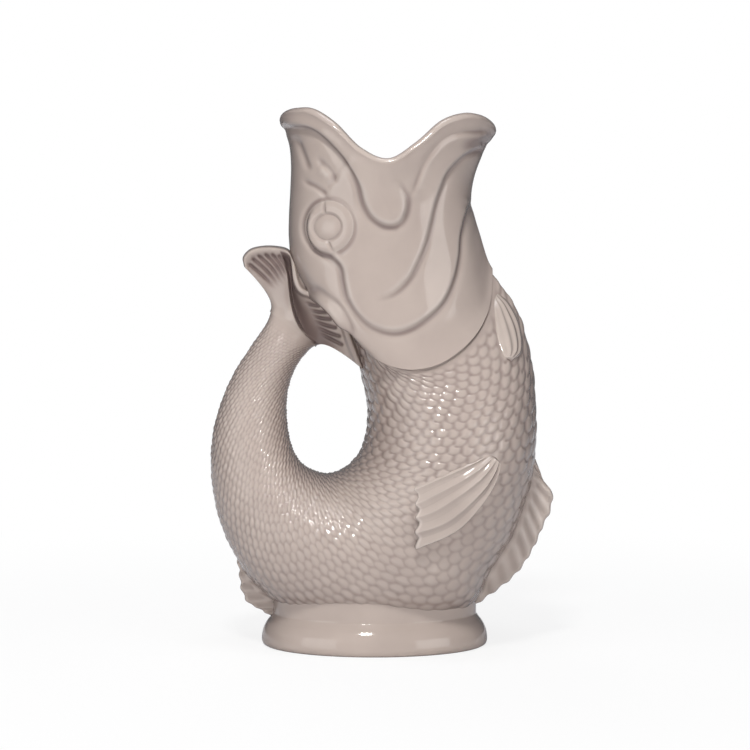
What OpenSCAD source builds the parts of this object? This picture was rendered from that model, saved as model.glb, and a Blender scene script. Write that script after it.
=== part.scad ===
// Gurgle jug in the shape of a leaping fish, a hollow casting in glazed earthenware.
// The open mouth is the spout. The hollow tail curls up to the nape and is the handle, and the
// air that it traps gurgles when the jug pours. The throat faces +X and the tail faces -X.
// The origin is on the table, under the middle of the jug. +Z is up.

/* [Jug] */
// Height from the table to the top of the lip
jug_h = 250; // [230:1:270]
// Width of the body, from the back of the tail to the belly
body_w = 152.4; // [140:0.2:165]
// Depth of the trunk, from flank to flank
trunk_d = 104; // [90:1:118]
// Thickness of the cast wall
wall = 4.5; // [3.5:0.1:5.5]

/* [Head] */
// Depth of the mouth across its lips
head_d = 88; // [78:1:98]
// Thickness of the rolled lip
lip_t = 5.2; // [4.5:0.1:6.5]
// How far the edge of the gill cover stands over the trunk
gill_step = 1.8; // [0.8:0.1:2.5]
// Width of the eye's ring, measured round the head
eye_w = 27; // [20:0.5:30]
// Height of the eye's ring
eye_h = 25; // [18:0.5:28]
// How far the eye stands out of the head
eye_proud = 2.2; // [1:0.1:3]

/* [Handle loop] */
// Width of the hole between the tail and the trunk
loop_w = 37.5; // [32:0.5:42]
// Height of the hole between the tail and the trunk
loop_h = 59.5; // [52:0.5:64]

/* [Foot] */
// Length of the oval foot
foot_l = 105.5; // [98:0.5:112]
// Depth of the oval foot
foot_d = 86; // [80:0.5:94]
// Height of the foot up to its waist
foot_h = 14; // [12:0.5:17]
// How much narrower the waist is than the foot, on each side
foot_flare = 5.2; // [3:0.1:7]
// Width of the ring that the jug rests on
foot_ring_w = 7; // [5:0.5:10]
// Height of the hollow under the foot
recess_h = 2.5; // [1.5:0.1:3]

/* [Fins] */
// Thickness of the tail fin's web
tail_web_t = 6; // [4:0.1:7]
// Thickness of the tail fin where its rolled rim is luted to the nape
tail_rim_t = 30; // [26:0.5:34]
// How deep the sides of the tail fin are dished under its rim
tail_dish = 3.4; // [2:0.1:4.5]
// Thickness of the belly fin and the rear fin where they leave the body
blade_root_t = 7; // [5:0.5:9]
// Thickness of the belly fin and the rear fin at their rims
blade_rim_t = 3.4; // [2.5:0.1:5]
// Height of the rays on all the fins
ray_h = 0.9; // [0.4:0.1:1.4]
// How far the flank fin stands out of the trunk at its lower edge
flank_proud = 4.2; // [2.5:0.1:5.5]
// How far the pectoral fin stands out of the trunk
pectoral_proud = 2.4; // [1.5:0.1:3.5]

/* [Hidden] */
glaze = "#c3b5aa";
glaze_thin = "#cdbfb4";
glaze_deep = "#b3a49a";
// Number of facets round the body, and angle that one of them spans
around = 36;
facet = 360 / around;
// Clearance that cuts run past the surfaces they open
overrun = 1;

// Stations down the head, from the lips to the gill covers. Each row is the nape point, the
// throat point, half the depth, the rise of the lips and the drop of the gill covers.
// Places are shares of body_w and jug_h, depths are shares of head_d, drops are shares of jug_h.
head_shares = [
    [-0.315, 0.979, 0.351, 0.959, 1.000, 1.00, 0.000],
    [-0.300, 0.960, 0.332, 0.943, 0.961, 0.95, 0.004],
    [-0.285, 0.932, 0.302, 0.911, 0.900, 0.80, 0.015],
    [-0.280, 0.895, 0.280, 0.872, 0.859, 0.60, 0.034],
    [-0.282, 0.850, 0.274, 0.831, 0.845, 0.40, 0.056],
    [-0.286, 0.803, 0.286, 0.797, 0.852, 0.22, 0.079],
    [-0.286, 0.756, 0.303, 0.763, 0.873, 0.10, 0.098],
    [-0.274, 0.711, 0.315, 0.737, 0.895, 0.00, 0.113],
    [-0.243, 0.660, 0.323, 0.716, 0.918, 0.00, 0.126],
    [-0.160, 0.613, 0.329, 0.700, 0.941, 0.00, 0.135]
];
// Stations from the gill covers down the trunk, round the bottom and up the tail. Each row is
// the point on the handle loop, as shares of half the loop's width and height, the point on the
// outside, as shares of body_w and jug_h, half the depth as a share of trunk_d, and the drop.
body_shares = [
    [0.573, 1.056, 0.406, 0.638, 0.835, 0.109],
    [0.823, 0.630, 0.446, 0.574, 0.892, 0.083],
    [0.973, 0.189, 0.466, 0.512, 0.940, 0.058],
    [0.998, -0.158, 0.474, 0.446, 0.975, 0.038],
    [0.936, -0.426, 0.474, 0.381, 0.996, 0.021],
    [0.823, -0.631, 0.465, 0.324, 1.000, 0.008],
    [0.648, -0.788, 0.440, 0.263, 1.000, 0.000],
    [0.448, -0.898, 0.397, 0.197, 0.990, 0.000],
    [0.248, -0.962, 0.335, 0.137, 0.971, 0.000],
    [0.073, -0.993, 0.246, 0.077, 0.942, 0.000],
    [-0.102, -0.993, 0.129, 0.039, 0.904, 0.000],
    [-0.277, -0.962, -0.022, 0.028, 0.865, 0.000],
    [-0.452, -0.914, -0.172, 0.039, 0.817, 0.000],
    [-0.627, -0.835, -0.305, 0.071, 0.760, 0.000],
    [-0.777, -0.709, -0.400, 0.118, 0.692, 0.000],
    [-0.890, -0.536, -0.462, 0.176, 0.615, 0.000],
    [-0.965, -0.315, -0.505, 0.240, 0.542, 0.000],
    [-1.002, -0.047, -0.526, 0.315, 0.477, 0.000],
    [-0.990, 0.221, -0.523, 0.386, 0.419, 0.000],
    [-0.902, 0.473, -0.498, 0.448, 0.369, 0.000],
    [-0.752, 0.693, -0.458, 0.505, 0.323, 0.000],
    [-0.577, 0.851, -0.406, 0.555, 0.277, 0.000],
    [-0.402, 0.953, -0.360, 0.598, 0.235, 0.000],
    [-0.227, 1.009, -0.340, 0.632, 0.202, 0.000]
];
// Middle of the handle loop, as shares of body_w and jug_h
loop_share = [-0.169, 0.437];
// Rise of the lips, and drop of the gill covers, from the nape round to the throat
rim_shares = [0, 0.0075, 0.012, 0.0101, -0.0141, -0.0576, -0.0752, -0.0435, -0.0015, 0.0156, 0.0161, 0.0088, 0];
gill_shares = [0, 0.03, 0.15, 0.39, 0.68, 0.88, 1, 1.03, 0.97, 0.85, 0.67, 0.42, 0];
shape_step = 180 / (len(rim_shares) - 1);

// Last station of each casting, counted along its table
head_end = len(head_shares) - 1;
tail_start = 16;
tail_end = len(body_shares);
tail_closed = tail_end - 1;

head_stations = [
    for (r = head_shares)
        [
            r[0] * body_w, r[1] * jug_h, r[2] * body_w, r[3] * jug_h,
            r[4] * head_d / 2, r[5] * jug_h, r[6] * jug_h
        ]
];
body_stations = concat(
    [head_stations[head_end]],
    [
        for (r = body_shares)
            [
                loop_share[0] * body_w + r[0] * loop_w / 2, loop_share[1] * jug_h + r[1] * loop_h / 2,
                r[2] * body_w, r[3] * jug_h, r[4] * trunk_d / 2, 0, r[5] * jug_h
            ]
    ]
);

// Smooth curve through the rows of a table, at t rows from its start
function smooth(rows, t) =
    let (
        n = len(rows) - 1,
        i = max(0, min(floor(t), n - 1)),
        f = t - i,
        b = rows[i],
        c = rows[i + 1],
        a = i > 0 ? rows[i - 1] : 2 * b - c,
        d = i + 2 <= n ? rows[i + 2] : 2 * c - b
    )
    b + 0.5 * f * ((c - a) + f * ((2 * a - 5 * b + 4 * c - d) + f * (3 * b - a - 3 * c + d)));

function mix(a, b, f) = a + (b - a) * f;
function ease(f) = let (g = max(0, min(1, f))) g * g * (3 - 2 * g);
function unit(p) = p / norm(p);

// Point of the skin at station u and at angle v, from the nape over the right side to the throat
// and back over the left side. A positive inset moves it into the wall.
function skin(stations, u, v, inset = 0) =
    let (
        r = smooth(stations, u),
        chord = [r[2] - r[0], r[3] - r[1]],
        step = unit(chord) * inset,
        a = [r[0], r[1]] + step,
        b = [r[2], r[3]] - step,
        turn = (v > 180 ? 360 - v : v) / shape_step,
        p = (a + b) / 2 - (b - a) / 2 * cos(v)
    )
    [p[0], -(r[4] - inset) * sin(v), p[1] + r[5] * smooth(rim_shares, turn) - r[6] * smooth(gill_shares, turn)];

// Outward direction of the skin
function outward(stations, u, v) =
    let (
        du = skin(stations, u + 0.05, v) - skin(stations, u - 0.05, v),
        dv = skin(stations, u, v + 2) - skin(stations, u, v - 2)
    )
    unit(cross(du, dv));

function ring(stations, u, inset = 0) = [for (k = [0 : around - 1]) skin(stations, u, k * facet, inset)];

// Faces between ring a and ring b, which hold n points each
function band(a, b, n) = [
    for (k = [0 : n - 1])
        let (m = (k + 1) % n)
        each [[a * n + k, a * n + m, b * n + m], [a * n + k, b * n + m, b * n + k]]
];
// The same faces, split along their other diagonals, as the casting that they meet has them
function joint_band(a, b, n) = [
    for (k = [0 : n - 1])
        let (m = (k + 1) % n)
        each [[a * n + k, a * n + m, b * n + k], [a * n + m, b * n + m, b * n + k]]
];
// Faces that close ring a, which is alike on both sides of the middle plane
function cap(a, n, flip) = [
    for (k = [0 : n / 2 - 1])
        let (
            p = a * n + k,
            q = a * n + k + 1,
            r = a * n + n - k - 1,
            s = a * n + (n - k) % n
        )
        each concat(
            k < n / 2 - 1 ? [flip ? [p, r, q] : [p, q, r]] : [],
            k > 0 ? [flip ? [p, s, r] : [p, r, s]] : []
        )
];

// A hollow casting, open at both ends, from rings that lead round its wall and back
module sleeve(rings) {
    n = len(rings[0]);
    polyhedron(
        points = [for (r = rings) each r],
        faces = concat(
            [for (i = [0 : len(rings) - 2]) each band(i, i + 1, n)],
            joint_band(len(rings) - 1, 0, n)
        )
    );
}

// A solid through rings, closed at both ends
module rod(rings) {
    n = len(rings[0]);
    last = len(rings) - 1;
    polyhedron(
        points = [for (r = rings) each r],
        faces = concat([for (i = [0 : last - 1]) each band(i, i + 1, n)], cap(0, n, true), cap(last, n, false))
    );
}

// A hollow casting, closed at one end. The outer rings lead to that end, and the inner ones back.
module sock(outer, inner) {
    rings = concat(outer, inner);
    n = len(rings[0]);
    last = len(rings) - 1;
    turn = len(outer) - 1;
    polyhedron(
        points = [for (r = rings) each r],
        faces = concat(
            [for (i = [0 : last - 1]) if (i != turn) each band(i, i + 1, n)],
            joint_band(last, 0, n),
            cap(turn, n, false),
            cap(turn + 1, n, true)
        )
    );
}

// A sprig laid on the skin: a grid of points on the skin, and the same grid on its own face
module sprig(base, face) {
    m = len(base);
    n = len(base[0]);
    size = m * n;
    function quad(a, b, c, d) = [[a, b, c], [a, c, d]];
    polyhedron(
        points = concat([for (r = base) each r], [for (r = face) each r]),
        faces = [
            for (i = [0 : m - 2], k = [0 : n - 2])
                let (a = i * n + k)
                each concat(
                    quad(a, a + n, a + n + 1, a + 1),
                    quad(size + a, size + a + 1, size + a + n + 1, size + a + n),
                    i == 0 ? quad(a, a + 1, size + a + 1, size + a) : [],
                    i == m - 2 ? quad(a + n + 1, a + n, size + a + n, size + a + n + 1) : [],
                    k == 0 ? quad(a + n, a, size + a, size + a + n) : [],
                    k == n - 2 ? quad(a + 1, a + n + 1, size + a + n + 1, size + a + 1) : []
                )
        ]
    );
}

// Point on the facets of the trunk and tail as they are built
function on_facets(stations, u, v) =
    let (
        i = min(floor(u * 2), (len(stations) - 1) * 2 - 1),
        k = floor(v / facet),
        fu = u * 2 - i,
        fv = v / facet - k,
        a = skin(stations, i / 2, k * facet),
        c = skin(stations, (i + 1) / 2, (k + 1) * facet)
    )
    fv > fu
        ? mix(a, skin(stations, i / 2, (k + 1) * facet), fv) + (c - skin(stations, i / 2, (k + 1) * facet)) * fu
        : mix(a, skin(stations, (i + 1) / 2, k * facet), fu) + (c - skin(stations, (i + 1) / 2, k * facet)) * fv;

// The head, from the rolled lips to the edge of the gill covers

// Stations over which the gill covers swell, and over which the lip thins to the wall
gill_stations = 2.5;
lip_stations = 2;
function gill_swell(u) = -gill_step * pow(max(0, 1 - (head_end - u) / gill_stations), 2);
function lip_wall(u) = mix(lip_t, wall, min(1, u / lip_stations));

module head() {
    outer = [for (i = [0 : head_end * 2]) ring(head_stations, i / 2, gill_swell(i / 2))];
    inner = [for (i = [head_end : -1 : 0]) ring(head_stations, i, lip_wall(i))];
    out = outer[0];
    in = inner[head_end];
    lip = [
        for (a = [150, 120, 90, 60, 30])
            [for (k = [0 : around - 1]) mix(in[k], out[k], (1 + cos(a)) / 2) + [0, 0, lip_t / 2 * sin(a)]]
    ];
    color(glaze) sleeve(concat(outer, [ring(head_stations, head_end)], inner, lip));
}

// The trunk and the tail, which share the stations of the body

function body_rings(from, to, inset = 0, per = 2) = [
    for (i = [0 : (to - from) * per]) ring(body_stations, from + i / per, inset)
];
function reversed(list) = [for (i = [len(list) - 1 : -1 : 0]) list[i]];

module trunk() {
    color(glaze)
        difference() {
            sleeve(concat(body_rings(0, tail_start), reversed(body_rings(0, tail_start, wall, 1))));
            foot_column(wall, -overrun);
        }
}

module tail() {
    color(glaze)
        sock(
            body_rings(tail_start, tail_end),
            reversed(body_rings(tail_start, tail_closed, wall, 1))
        );
}

// The foot, an oval pedestal with a hollow inside that opens into the trunk

foot_share = -0.023;
foot_x = foot_share * body_w;
// Height of the top of the foot inside the trunk, as a share of foot_h
foot_top_share = 2.1;
foot_top = foot_h * foot_top_share;
// Each row is a height as a share of foot_h, and how far the side stands in as a share of foot_flare
foot_profile_shares = [
    [0, 0.3], [0.05, 0.1], [0.16, 0], [0.32, 0.02], [0.5, 0.11], [0.64, 0.26], [0.78, 0.48], [0.91, 0.75], [1.04, 1]
];

function oval(inset, z) = [
    for (k = [0 : around - 1])
        [foot_x - (foot_l / 2 - inset) * cos(k * facet), -(foot_d / 2 - inset) * sin(k * facet), z]
];

// The waist of the foot as a straight oval column, up into the trunk
module foot_column(inset, from) {
    rod([oval(foot_flare + inset, foot_top), oval(foot_flare + inset, from)]);
}

module foot() {
    color(glaze_thin)
        difference() {
            rod(concat(
                [oval(foot_flare, foot_top)],
                [for (r = reversed(foot_profile_shares)) oval(foot_flare * r[1], foot_h * r[0])]
            ));
            foot_column(wall, recess_h + wall);
            rod([oval(foot_ring_w + recess_h, recess_h), oval(foot_ring_w, -overrun)]);
            rod(body_rings(8, tail_start));
            belly_fin();
            rear_fin();
        }
}

// The tail fin, a forked fan from the end of the tail to the nape

// Rim of the fin from its left edge over the fork and down the nape, as shares of body_w and jug_h
tail_rim_shares = [
    [-0.425, 0.707], [-0.428, 0.724], [-0.406, 0.739], [-0.369, 0.745], [-0.326, 0.745], [-0.288, 0.739],
    [-0.274, 0.717], [-0.246, 0.683], [-0.225, 0.659], [-0.197, 0.650], [-0.166, 0.638], [-0.134, 0.619],
    [-0.105, 0.593], [-0.077, 0.556], [-0.056, 0.505]
];
// Thickness of the rim at the same places, as a share of tail_rim_t
tail_depth_shares = [0.29, 0.32, 0.34, 0.37, 0.44, 0.6, 0.8, 0.94, 1, 1, 1, 1, 1, 0.95, 0.85];
tail_columns = 32;
// Distance along the tail's direction before the columns fan out, as a share of jug_h, and depth
// of the shallow groove along the middle of the root, as a share of that distance
tail_lead_share = 0.028;
root_share = 0.04;
// Rows from the root to the rim, as a share of the column, with the half thickness as a share
// of the way from the web to the root, and of the way from the web to the rim
tail_row_shares = [
    [0, 1, 0], [0.08, 0.75, 0], [0.16, 0.3, 0], [0.26, 0.05, 0], [0.45, 0, 0],
    [0.66, 0, 0.05], [0.8, 0, 0.45], [0.88, 0, 0.95], [0.94, 0, 1], [0.985, 0, 0.6]
];
// Shares of a column over which the rays rise from the root and fade into the rim
ray_rise_share = 0.3;
ray_fade_share = 0.2;

function tail_column(j) =
    let (
        f = j / tail_columns,
        v = mix(180 - facet, facet, f),
        root = on_facets(body_stations, tail_end, v),
        back = skin(body_stations, tail_end - 1, 90),
        here = skin(body_stations, tail_end, 90),
        lead = unit(here - back) * tail_lead_share * jug_h,
        rim = smooth(tail_rim_shares, f * (len(tail_rim_shares) - 1)),
        rim_t = tail_rim_t / 2 * smooth(tail_depth_shares, f * (len(tail_depth_shares) - 1)),
        end = [rim[0] * body_w, 0, rim[1] * jug_h],
        foot_of = [root[0], 0, root[2]],
        ray = (j % 2 == 0 ? 1 : -1) * ray_h / 2,
        side = [
            for (r = tail_row_shares)
                let (
                    s = r[0],
                    p = foot_of * pow(1 - s, 2) + (foot_of + lead) * 2 * s * (1 - s) + end * s * s,
                    dished = mix(tail_web_t / 2, max(tail_web_t / 2, rim_t - tail_dish), ease(s)),
                    web = dished + ray * ease(s / ray_rise_share) * ease((1 - s) / ray_fade_share),
                    t = mix(mix(web, -root[1], r[1]), rim_t, r[2])
                )
                [p[0], -t, p[2]]
        ]
    )
    concat([foot_of + lead * root_share], side, [end], [for (p = reversed(side)) [p[0], -p[1], p[2]]]);

// First station of the head, and last station of the trunk, that the fin meets
fin_meets_head = 5;
fin_meets_trunk = 3;

module tail_fin() {
    color(glaze_deep)
        difference() {
            rod([for (j = [0 : tail_columns]) tail_column(tail_columns - j)]);
            rod([for (i = [fin_meets_head * 2 : head_end * 2]) ring(head_stations, i / 2, gill_swell(i / 2))]);
            rod(body_rings(0, fin_meets_trunk));
        }
}

// Blades along the outer line of the body, which the belly fin and the rear fin share

// Rows from the body to the rim, with the share of the way from the root's to the rim's thickness
blade_row_shares = [[0, 0], [0.12, 0.5], [0.3, 0.85], [0.6, 1], [0.85, 1], [0.97, 0.7]];

function blade_column(u, rim, ray) =
    let (
        root = skin(body_stations, u, 180),
        end = [rim[0], 0, rim[1]],
        wide = -skin(body_stations, u, 180 - facet)[1],
        edge = on_facets(body_stations, u, 180 - facet * blade_root_t / 2 / wide),
        side = [
            for (r = blade_row_shares)
                let (
                    p = mix(root, end, r[0]),
                    t = mix(blade_root_t, blade_rim_t, r[1]) / 2 + ray * ray_h / 2 * ease(r[0] / ray_rise_share)
                )
                r[0] == 0 ? edge : [p[0], -t, p[2]]
        ]
    )
    concat([root], side, [end], [for (p = reversed(side)) [p[0], -p[1], p[2]]]);

// The blade's rays start at the stations of run, and are swept back towards its end by the lag
module blade(run, lag, rim_shares, columns) {
    rim = [for (r = rim_shares) [r[0] * body_w, r[1] * jug_h]];
    color(glaze_deep)
        rod([
            for (j = [0 : columns])
                let (
                    f = j / columns,
                    u = mix(run[0], run[1], f - lag * f * (1 - f)),
                    ray = j % 2 == 0 ? 1 : -1,
                    root = skin(body_stations, u, 180),
                    p = smooth(rim, f * (len(rim) - 1)),
                    end = p + unit(p - [root[0], root[2]]) * ray_h * (ray - 1) / 2
                )
                blade_column(u, end, ray)
        ]);
}

// The belly fin, from the belly down to the foot
belly_run_shares = [5.5, 9.8];
belly_lag_share = 0.5;
belly_columns = 22;
belly_rim_shares = [
    [0.474, 0.343], [0.500, 0.302], [0.526, 0.281], [0.520, 0.248], [0.496, 0.217], [0.476, 0.188],
    [0.451, 0.16], [0.420, 0.133], [0.378, 0.109], [0.330, 0.088], [0.288, 0.07]
];
module belly_fin() {
    blade(belly_run_shares, belly_lag_share, belly_rim_shares, belly_columns);
}

// The rear fin, under the tail
rear_run_shares = [13.3, 15.8];
rear_columns = 12;
rear_rim_shares = [[-0.348, 0.052], [-0.38, 0.064], [-0.418, 0.078], [-0.437, 0.105], [-0.44, 0.135], [-0.445, 0.163]];
module rear_fin() {
    blade(rear_run_shares, 0, rear_rim_shares, rear_columns);
}

// Sprigs on the sides of the fish. Their outlines are stations and angles of the skin.

// Edges of the flank fin, from its tip to its free edge
flank_upper_shares = [[4.8, 117], [4.85, 107], [5.1, 94], [5.7, 81], [6.7, 68]];
flank_lower_shares = [[5, 119.5], [5.8, 118.5], [6.9, 115.5], [8.2, 107.5], [9.55, 95]];
// Edges of the pectoral fin, from its tip under the gill cover to its free end
pectoral_upper_shares = [[0.3, 172], [0.45, 160], [0.72, 150], [1, 145], [1.25, 144]];
pectoral_lower_shares = [[0.35, 174], [0.9, 175.5], [1.4, 173.5], [1.68, 163], [1.5, 148]];

function sprig_place(upper, lower, s, t) =
    mix(smooth(upper, s * (len(upper) - 1)), smooth(lower, s * (len(lower) - 1)), t);

flank_rows = 9;
flank_columns = 18;
module flank_fin_right() {
    color(glaze_thin)
        fin_on_skin(flank_upper_shares, flank_lower_shares, flank_rows, flank_columns, flank_proud, 0.3);
}
module flank_fin_left() {
    mirror([0, 1, 0]) flank_fin_right();
}

pectoral_rows = 7;
pectoral_columns = 10;
module pectoral_fin_right() {
    color(glaze_thin)
        fin_on_skin(pectoral_upper_shares, pectoral_lower_shares, pectoral_rows, pectoral_columns, pectoral_proud, 0.8);
}
module pectoral_fin_left() {
    mirror([0, 1, 0]) pectoral_fin_right();
}

// A fin that lies on the skin. Its rays fan out from its tip, and it stands proud by the given
// height at its lower edge and by a share of it at its upper edge. Its outer rows stand lower.
sprig_edge_share = 0.45;
module fin_on_skin(upper, lower, rows, columns, proud, upper_share) {
    base = [
        for (i = [0 : rows])
            [
                for (k = [0 : columns])
                    let (p = sprig_place(upper, lower, i / rows, k / columns))
                    on_facets(body_stations, p[0], p[1])
            ]
    ];
    face = [
        for (i = [0 : rows])
            [
                for (k = [0 : columns])
                    let (
                        p = sprig_place(upper, lower, i / rows, k / columns),
                        edge = k == 0 || k == columns || i == 0 ? sprig_edge_share : 1,
                        ray = (k % 2 == 0 ? 0.5 : -0.5) * ray_h,
                        h = proud * mix(upper_share, 1, k / columns) * edge
                    )
                    base[i][k] + outward(body_stations, p[0], p[1]) * (h + ray * edge)
            ]
    ];
    sprig(base, face);
}

// The eye, a ring round a low dome
// Station and angle of the middle of the eye
eye_spot_shares = [4.56, 56];
eye_facets = 24;
// Rows from the middle to the edge, as a share of the radius, and the height as a share of eye_proud
eye_shares = [[0, 1], [0.25, 0.95], [0.42, 0.7], [0.5, 0.35], [0.6, 0.45], [0.78, 0.9], [0.92, 0.75], [1, 0.2]];

module eye_right() {
    eye_u = eye_spot_shares[0];
    eye_v = eye_spot_shares[1];
    per_u = norm(skin(head_stations, eye_u + 0.5, eye_v) - skin(head_stations, eye_u - 0.5, eye_v));
    per_v = norm(skin(head_stations, eye_u, eye_v + 0.5) - skin(head_stations, eye_u, eye_v - 0.5));
    n = eye_facets;
    spots = [
        for (r = eye_shares)
            [
                for (k = [0 : n - 1])
                    let (a = k * 360 / n)
                    [eye_u - eye_h / 2 / per_u * r[0] * sin(a), eye_v + eye_w / 2 / per_v * r[0] * cos(a)]
            ]
    ];
    face = [
        for (i = [0 : len(eye_shares) - 1])
            [
                for (p = spots[i])
                    on_facets(head_stations, p[0], p[1])
                        + outward(head_stations, p[0], p[1]) * eye_proud * eye_shares[i][1]
            ]
    ];
    base = [for (row = spots) [for (p = row) on_facets(head_stations, p[0], p[1])]];
    m = len(eye_shares);
    color(glaze_thin)
        polyhedron(
            points = concat(
                [face[0][0]], [for (i = [1 : m - 1]) each face[i]],
                [for (i = [m - 1 : -1 : 1]) each base[i]], [base[0][0]]
            ),
            faces = concat(
                [for (k = [0 : n - 1]) [0, 1 + k, 1 + (k + 1) % n]],
                [
                    for (i = [0 : 2 * m - 4], k = [0 : n - 1])
                        let (a = 1 + i * n, b = a + n, l = (k + 1) % n)
                        each [[a + k, b + k, b + l], [a + k, b + l, a + l]]
                ],
                [
                    for (k = [0 : n - 1])
                        let (a = 1 + (2 * m - 3) * n)
                        [a + k, a + n, a + (k + 1) % n]
                ]
            )
        );
}
module eye_left() {
    mirror([0, 1, 0]) eye_right();
}

head();
trunk();
tail();
foot();
tail_fin();
belly_fin();
rear_fin();
pectoral_fin_left();
pectoral_fin_right();
flank_fin_left();
flank_fin_right();
eye_left();
eye_right();
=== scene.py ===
import bpy
import numpy as np
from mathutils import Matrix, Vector


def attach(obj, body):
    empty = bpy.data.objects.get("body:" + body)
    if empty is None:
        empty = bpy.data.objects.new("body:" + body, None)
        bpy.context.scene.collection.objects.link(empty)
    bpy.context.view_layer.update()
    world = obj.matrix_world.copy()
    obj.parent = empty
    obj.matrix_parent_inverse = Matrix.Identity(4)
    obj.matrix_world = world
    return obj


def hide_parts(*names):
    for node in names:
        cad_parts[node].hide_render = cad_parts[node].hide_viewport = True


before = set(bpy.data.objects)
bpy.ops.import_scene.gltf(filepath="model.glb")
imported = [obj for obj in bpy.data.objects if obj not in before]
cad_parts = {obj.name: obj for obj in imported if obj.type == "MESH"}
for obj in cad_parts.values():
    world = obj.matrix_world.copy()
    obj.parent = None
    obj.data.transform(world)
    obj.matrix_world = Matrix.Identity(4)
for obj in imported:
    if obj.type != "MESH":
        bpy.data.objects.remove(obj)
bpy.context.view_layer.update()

# Sizes of the jug in metres, as the frame has them
MM = 0.001
JUG_H = 250 * MM
BODY_W = 152.4 * MM  # from the tail to the belly, without the fins
TRUNK_D = 104 * MM
WALL = 4.5 * MM
HEAD_D = 88 * MM
LIP_T = 5.2 * MM
GILL_STEP = 1.8 * MM  # how far the gill covers stand over the trunk
LOOP_W = 37.5 * MM  # the handle loop
LOOP_H = 59.5 * MM
FOOT_L = 105.5 * MM
FOOT_D = 86 * MM
FOOT_H = 14 * MM
FOOT_FLARE = 5.2 * MM  # how far the foot's rim stands out from its waist
FOOT_RING_W = 7 * MM  # the flat ring that the jug stands on
RECESS_H = 2.5 * MM  # the hollow underneath, inside that ring

# Stations down the head, from the lips to the gill covers: nape point, throat point, half the
# depth, rise of the lips and drop of the gill covers
HEAD_SHARES = [
    [-0.315, 0.979, 0.351, 0.959, 1, 1, 0],
    [-0.3, 0.96, 0.332, 0.943, 0.961, 0.95, 0.004],
    [-0.285, 0.932, 0.302, 0.911, 0.9, 0.8, 0.015],
    [-0.28, 0.895, 0.28, 0.872, 0.859, 0.6, 0.034],
    [-0.282, 0.85, 0.274, 0.831, 0.845, 0.4, 0.056],
    [-0.286, 0.803, 0.286, 0.797, 0.852, 0.22, 0.079],
    [-0.286, 0.756, 0.303, 0.763, 0.873, 0.1, 0.098],
    [-0.274, 0.711, 0.315, 0.737, 0.895, 0, 0.113],
    [-0.226, 0.66, 0.323, 0.716, 0.918, 0, 0.126],
    [-0.135, 0.613, 0.329, 0.7, 0.941, 0, 0.135],
]
# Stations from the gill covers down the trunk, round the bottom and up the tail: point on the
# handle loop, point on the outside, half the depth and the drop of the gill covers
BODY_SHARES = [
    [0.673, 1.056, 0.406, 0.638, 0.835, 0.109],
    [0.823, 0.63, 0.446, 0.574, 0.892, 0.083],
    [0.973, 0.189, 0.466, 0.512, 0.94, 0.058],
    [0.998, -0.158, 0.474, 0.446, 0.975, 0.038],
    [0.936, -0.426, 0.474, 0.381, 0.996, 0.021],
    [0.823, -0.631, 0.465, 0.324, 1, 0.008],
    [0.648, -0.788, 0.44, 0.263, 1, 0],
    [0.448, -0.898, 0.397, 0.197, 0.99, 0],
    [0.248, -0.962, 0.335, 0.137, 0.971, 0],
    [0.073, -0.993, 0.276, 0.073, 0.942, 0],
    [-0.102, -0.993, 0.15, 0.036, 0.904, 0],
    [-0.277, -0.962, -0.022, 0.028, 0.865, 0],
    [-0.452, -0.914, -0.172, 0.039, 0.817, 0],
    [-0.627, -0.835, -0.305, 0.071, 0.76, 0],
    [-0.777, -0.709, -0.4, 0.118, 0.692, 0],
    [-0.89, -0.536, -0.462, 0.176, 0.615, 0],
    [-0.965, -0.315, -0.505, 0.24, 0.542, 0],
    [-1.002, -0.047, -0.526, 0.315, 0.477, 0],
    [-0.99, 0.221, -0.523, 0.386, 0.419, 0],
    [-0.902, 0.473, -0.498, 0.448, 0.369, 0],
    [-0.752, 0.693, -0.458, 0.505, 0.323, 0],
    [-0.577, 0.851, -0.406, 0.555, 0.277, 0],
    [-0.402, 0.953, -0.36, 0.598, 0.235, 0],
    [-0.227, 1.009, -0.34, 0.632, 0.202, 0],
]
LOOP_SHARE = [-0.169, 0.437]  # the middle of the handle loop
# Rise of the lips and drop of the gill covers, at equal steps from the nape to the throat
RIM_SHARES = [
    0, 0.0075, 0.012, 0.0101, -0.0141, -0.0576, -0.0752,
    -0.0435, -0.0015, 0.0156, 0.0161, 0.0088, 0,
]
GILL_SHARES = [0, 0.03, 0.15, 0.39, 0.68, 0.88, 1, 1.03, 0.97, 0.85, 0.67, 0.42, 0]
SHAPE_STEP = 180 / (len(RIM_SHARES) - 1)
HEAD_END = len(HEAD_SHARES) - 1
TAIL_START = 16  # the station where the tail begins
TAIL_END = len(BODY_SHARES)

# The photograph's frame: its size, the pixels on the table line and on the jug's middle, and
# the camera's distance and height that give the foot and the lips as they are seen
PHOTO = 750
PIXEL = JUG_H / 533.2
TABLE_PX = 643.0
MIDDLE_PX = 382.0
CAMERA_FAR = 1.2
CAMERA_H = 190 * MM
CAMERA_X = (PHOTO / 2 - MIDDLE_PX) * PIXEL


def along(rows, t):
    """Smooth curve through the rows of a table, at t rows from its start"""
    rows = np.asarray(rows, float)
    t = np.asarray(t, float)
    n = len(rows) - 1
    i = np.clip(np.floor(t).astype(int), 0, n - 1)
    flat = rows.ndim == 1
    f = (t - i) if flat else (t - i)[..., None]
    first = (i == 0) if flat else (i == 0)[..., None]
    last = (i == n - 1) if flat else (i == n - 1)[..., None]
    b = rows[i]
    c = rows[i + 1]
    a = np.where(first, 2 * b - c, rows[np.maximum(i - 1, 0)])
    d = np.where(last, 2 * c - b, rows[np.minimum(i + 2, n)])
    bend = (2 * a - 5 * b + 4 * c - d) + f * (3 * b - a - 3 * c + d)
    return b + 0.5 * f * ((c - a) + f * bend)


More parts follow.
